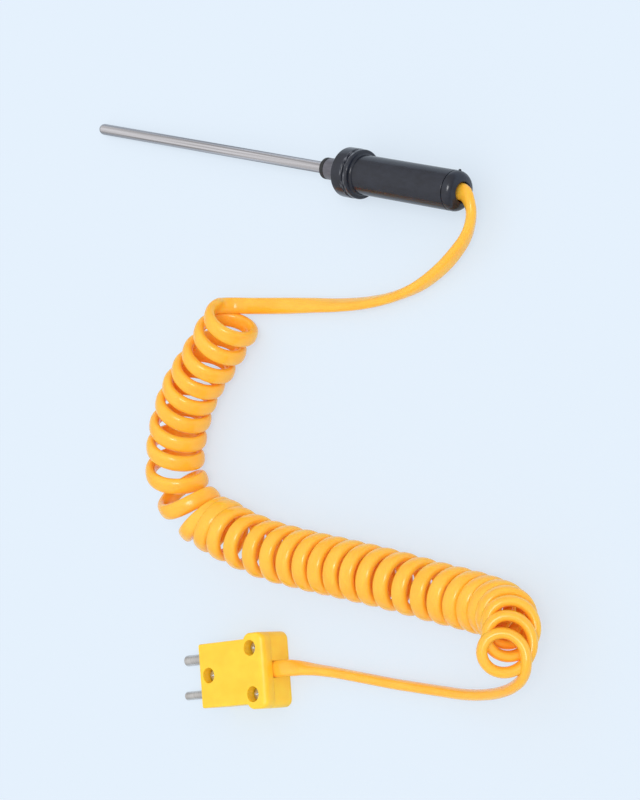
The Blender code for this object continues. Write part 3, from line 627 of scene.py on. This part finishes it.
plug_lead = np.array([
    (0.1425, -0.1273, 0.0184, 50), (0.1409, -0.1304, 0.0169, 57), (0.1371, -0.1338, 0.0146, 66),
    (0.1309, -0.1373, 0.0116, 76), (0.1227, -0.1405, 0.0084, 84), (0.1136, -0.1430, 0.0057, 88),
    (0.1037, -0.1448, 0.0038, 90), (0.0944, -0.1463, 0.0029, 90), (0.0865, -0.1475, 0.0026, 90),
    (0.0716, -0.1493, 0.0026, 90), (0.0596, -0.1508, 0.0026, 85), (0.0531, -0.1518, 0.0030, 72),
    (0.0488, -0.1525, 0.0042, 50),
])
mouth = np.array([(x * MM, 0, cord_height, 1) for x in (32.0, 27.5, 24.0, 20.7)]) @ np.array(plug_pose).T
plug_end = np.column_stack([mouth[:, :3], (18, 0, 0, 0)])

# The coil as rings: (turn, x, y, z of the ring's middle, outer radius, swing, lean). Swing and lean are the
# heading and the rise of the coil's axis there, in degrees. The coil lies on the table, bends once, and its
# end turns up.
rings = np.array([
    (0, 2.6, -48.9, 9.2, 9.5, -115, -15), (1, -0.1, -52.7, 9.3, 9.5, -115, -15),
    (3, -6.8, -65.6, 9.4, 9.5, -115, -16), (5, -12.9, -77.2, 9.4, 9.5, -114, -16),
    (6, -14.3, -83.3, 9.5, 9.6, -111, -17), (7, -15.2, -90.4, 9.5, 9.6, -105, -18),
    (8, -14.9, -96.9, 9.4, 9.6, -98, -20), (9, -13.2, -104.7, 9.2, 9.6, -91, -22),
    (10, -6.0, -112.2, 9.0, 9.5, -54, -24), (11, 4.0, -116.0, 9.3, 9.5, -33, -14),
    (12, 9.6, -116.6, 9.4, 9.5, -15, -8), (13, 15.7, -117.8, 9.4, 9.4, -2, 0),
    (15, 31.4, -119.1, 9.35, 9.4, 8, 1), (17, 45.5, -118.7, 9.25, 9.3, 9, 1),
    (20, 64.6, -117.5, 9.15, 9.2, 9, 1), (23, 84.4, -116.4, 9.1, 9.1, 9, 1),
    (25, 98.7, -116.0, 9.0, 9.0, 9, 2), (27, 111.9, -115.3, 9.5, 8.9, 4, 8),
    (28, 117.8, -115.1, 10.0, 8.8, 3, 14), (29, 123.6, -114.8, 11.6, 8.7, 2, 21),
    (30, 129.0, -114.9, 14.4, 8.6, 3, 31), (31, 133.4, -116.2, 17.1, 8.5, 5, 39),
    (32, 136.3, -119.4, 19.8, 8.4, 6, 45), (33, 137.5, -123.9, 22.4, 8.2, 8, 48),
    (34, 138.4, -127.8, 24.8, 8.1, 8, 48),
])
coil_start, coil_end, turn_steps = 0.80, 33.5, 24


def through(knots, values, at):
    """Smooth curve through values at knots. In each span the cubic's end slopes are the mean of the
    neighbouring chords' slopes, each weighted by the other chord's length."""
    gap = np.diff(knots)[:, None]
    chord = np.diff(values, axis=0) / gap
    inner = (chord[:-1] * gap[1:] + chord[1:] * gap[:-1]) / (gap[1:] + gap[:-1])
    slope = np.vstack([chord[:1], inner, chord[-1:]])
    i = np.clip(np.searchsorted(knots, at, side="right") - 1, 0, len(knots) - 2)
    h = gap[i]
    t = (at - knots[i])[:, None] / h
    return ((2 * t ** 3 - 3 * t ** 2 + 1) * values[i] + (t ** 3 - 2 * t ** 2 + t) * h * slope[i]
            + (3 * t ** 2 - 2 * t ** 3) * values[i + 1] + (t ** 3 - t ** 2) * h * slope[i + 1])


def unit(vectors):
    """Each vector divided by its length."""
    return vectors / np.linalg.norm(vectors, axis=1)[:, None]


# Each turn is a circle of the ring's radius less half the cord's thickness, in the plane across the coil's
# axis: middle + r (cos a U + sin a V), with a = -2 pi turn, U the ring's upward direction and V = axis x U.
turn = np.linspace(coil_start, coil_end, round((coil_end - coil_start) * turn_steps) + 1)
ring = through(rings[:, 0], rings[:, 1:], turn)
swing, lean = np.radians(ring[:, 4]), np.radians(ring[:, 5])
coil_axis = np.column_stack([np.cos(swing) * np.cos(lean), np.sin(swing) * np.cos(lean), np.sin(lean)])
ring_up = unit((0, 0, 1) - coil_axis * coil_axis[:, 2:])
ring_side = np.cross(coil_axis, ring_up)
a = -math.tau * turn[:, None]
radius = (ring[:, 3:4] - cord_thick / MM / 2) * MM
coil = ring[:, :3] * MM + radius * (np.cos(a) * ring_up + np.sin(a) * ring_side)


def wide_way(points, rolls):
    """Direction of the oval's width on a lead: cos(roll) of the level side direction plus sin(roll) of up."""
    heading = np.gradient(points, axis=0)
    level = unit(np.column_stack([-heading[:, 1], heading[:, 0], 0 * heading[:, 0]]))
    angle = np.radians(rolls)[:, None]
    return np.cos(angle) * level + np.sin(angle) * np.array([(0, 0, 1.0)])


def run_length(points):
    """Length along a line of points from its start to each of them."""
    return np.concatenate([[0], np.cumsum(np.linalg.norm(np.diff(points, axis=0), axis=1))])


# The whole cord's middle line, measured on a fine copy and then taken at even stations along it.
path_samples = 8000
station_step = 0.95 * MM
front_part = np.vstack([handle_end, handle_lead])
rear_part = np.vstack([plug_lead, plug_end])
knots = np.vstack([front_part[:, :3], coil, rear_part[:, :3]])
wide = np.vstack([wide_way(front_part[:, :3], front_part[:, 3]), coil_axis,
                  wide_way(rear_part[:, :3], rear_part[:, 3])])
travel = run_length(knots)
samples = np.linspace(0, travel[-1], path_samples)
distance = run_length(through(travel, knots, samples))
cord_length = distance[-1]
stations = np.linspace(0, cord_length, round(cord_length / station_step))
at = np.interp(stations, distance, samples)
line = through(travel, knots, at)
heading = unit(np.gradient(line, axis=0))
width_way = through(travel, wide, at)
width_way = unit(width_way - heading * (width_way * heading).sum(1)[:, None])
thick_way = np.cross(heading, width_way)

# The section is an oval with full sides, with n = 2.4:
# (sign cos p |cos p|^(2/n) w/2, sign sin p |sin p|^(2/n) t/2).
section_sides = 28
p = np.linspace(0, math.tau, section_sides, endpoint=False)
section_x = np.sign(np.cos(p)) * np.abs(np.cos(p)) ** (2 / corner_power) * cord_width / 2
section_y = np.sign(np.sin(p)) * np.abs(np.sin(p)) ** (2 / corner_power) * cord_thick / 2
outer = (line[:, None] + width_way[:, None] * section_x[None, :, None]
         + thick_way[:, None] * section_y[None, :, None])
jacket = np.concatenate([line[:1, None].repeat(section_sides, 1), outer,
                         line[-1:, None].repeat(section_sides, 1)])
along = np.concatenate([stations[:1], stations, stations[-1:]])[:, None]
own = np.stack(np.broadcast_arrays(along, section_x, section_y), -1) / MM

# Glossy polyurethane: orange-yellow and slightly translucent, so that the light between the turns goes deep
# orange. Faint draw lines run along it 0.5 mm apart, with a slow waver in the gloss.
jacket_pu, tree, shader = blank("orange polyurethane", IOR=1.5, Subsurface_Weight=0.25,
                                Subsurface_Scale=0.0018)
shader.inputs["Subsurface Radius"].default_value = (1.0, 0.35, 0.08)
place = own_place(tree)
draw_lines = grain(tree, place, (0.04, 2.0, 2.0), detail=3.0)
waver = grain(tree, place, (0.12, 0.3, 0.3), detail=2.0)
tree.links.new(tones(tree, waver, (0.3, "FFB734"), (0.7, "FFC140")), shader.inputs["Base Color"])
tree.links.new(spread(tree, draw_lines, 0.17, 0.27), shader.inputs["Roughness"])
bump(tree, shader, draw_lines, 0.005 * MM)

cord = piece("curly_cord", solid([grid(jacket)], own.reshape(-1, 3)), Matrix.Identity(4), jacket_pu,
             "cord_jacket", "cord_handle_end", "coil_upper", "coil_bend", "coil_lower", "coil_end",
             "cord_plug_end", crease=60)
print("cord length", round(float(cord_length), 4), "faces", len(cord.data.polygons))

# --- Table, light and camera -------------------------------------------------------------------------
# A pale table that fills the view, a sky that is brighter overhead and a soft lamp. Light may bounce twelve
# times between surfaces, which gives the glow between the cord's turns.
table_half = 40.0
table_height = -0.0001
corners = [(x, y, table_height) for y in (-table_half, table_half) for x in (-table_half, table_half)]
table_mesh = bpy.data.meshes.new("table")
table_mesh.from_pydata(corners, [], [(0, 1, 3, 2)])
table_paint, tree, shader = blank("pale table", Roughness=0.9, Specular_IOR_Level=0.0)
shader.inputs["Base Color"].default_value = linear("E4F0FC")
# Rays from the camera, from gloss and through clear material see 0.72 of the table's own colour, unlit, which
# leaves a faint shadow.
own_share = 0.72
rays = add(tree, "ShaderNodeLightPath").outputs
seen = add(tree, "ShaderNodeMath", {0: rays["Is Camera Ray"], 1: rays["Is Glossy Ray"]}, operation="MAXIMUM")
seen = add(tree, "ShaderNodeMath", {0: seen.outputs[0], 1: rays["Is Transmission Ray"]}, operation="MAXIMUM")
share = add(tree, "ShaderNodeMath", {0: seen.outputs[0], 1: own_share}, operation="MULTIPLY")
plain = add(tree, "ShaderNodeEmission", {"Color": linear("E4F0FC"), "Strength": 0.95})
mixed = add(tree, "ShaderNodeMixShader", {0: share.outputs[0], 1: shader.outputs[0], 2: plain.outputs[0]})
tree.links.new(mixed.outputs[0], tree.nodes["Material Output"].inputs["Surface"])
table_mesh.materials.append(table_paint)
table = bpy.data.objects.new("table", table_mesh)
bpy.context.scene.collection.objects.link(table)

# The sky's strength is 0.47 at the level of the table and below, and rises with the height of the direction
# to 1.11 overhead.
sky_level = 0.47
sky_rise = 0.64
world = bpy.data.worlds.new("studio")
bpy.context.scene.world = world
world.use_nodes = True
sky_tree = world.node_tree
sky = sky_tree.nodes["Background"]
sky.inputs["Color"].default_value = (1.0, 1.0, 1.0, 1.0)
direction = add(sky_tree, "ShaderNodeTexCoord").outputs["Generated"]
rise = add(sky_tree, "ShaderNodeSeparateXYZ", {0: direction}).outputs["Z"]
rise = add(sky_tree, "ShaderNodeMath", {0: rise, 1: 0.0}, operation="MAXIMUM").outputs[0]
glow = add(sky_tree, "ShaderNodeMath", {0: rise, 1: sky_rise, 2: sky_level}, operation="MULTIPLY_ADD")
sky_tree.links.new(glow.outputs[0], sky.inputs["Strength"])

lamp_data = bpy.data.lights.new("soft_key", "SUN")
lamp_data.energy = 1.0
lamp_data.angle = math.radians(22)
lamp = bpy.data.objects.new("soft_key", lamp_data)
lamp.matrix_world = Vector((0.62, 0.15, 1.0)).to_track_quat("Z", "Y").to_matrix().to_4x4()
bpy.context.scene.collection.objects.link(lamp)

camera_data = bpy.data.cameras.new("photo_camera")
camera_data.sensor_fit = "VERTICAL"
camera_data.sensor_height = 24.0
camera_data.lens = 75.0
camera_data.clip_start = 0.01
camera = bpy.data.objects.new("photo_camera", camera_data)
right = (0.72987, 0.17588, -0.66058)
up = (-0.18923, 0.98056, 0.05199)
back = (0.65688, 0.08706, 0.74896)
turned = Matrix((right, up, back)).transposed().to_4x4()
camera.matrix_world = Matrix.Translation((0.5437, -0.00333, 0.58141)) @ turned
bpy.context.scene.collection.objects.link(camera)
bpy.context.scene.camera = camera
bpy.context.scene.view_settings.view_transform = "Standard"
bpy.context.scene.cycles.diffuse_bounces = 12
bpy.context.scene.cycles.max_bounces = 16
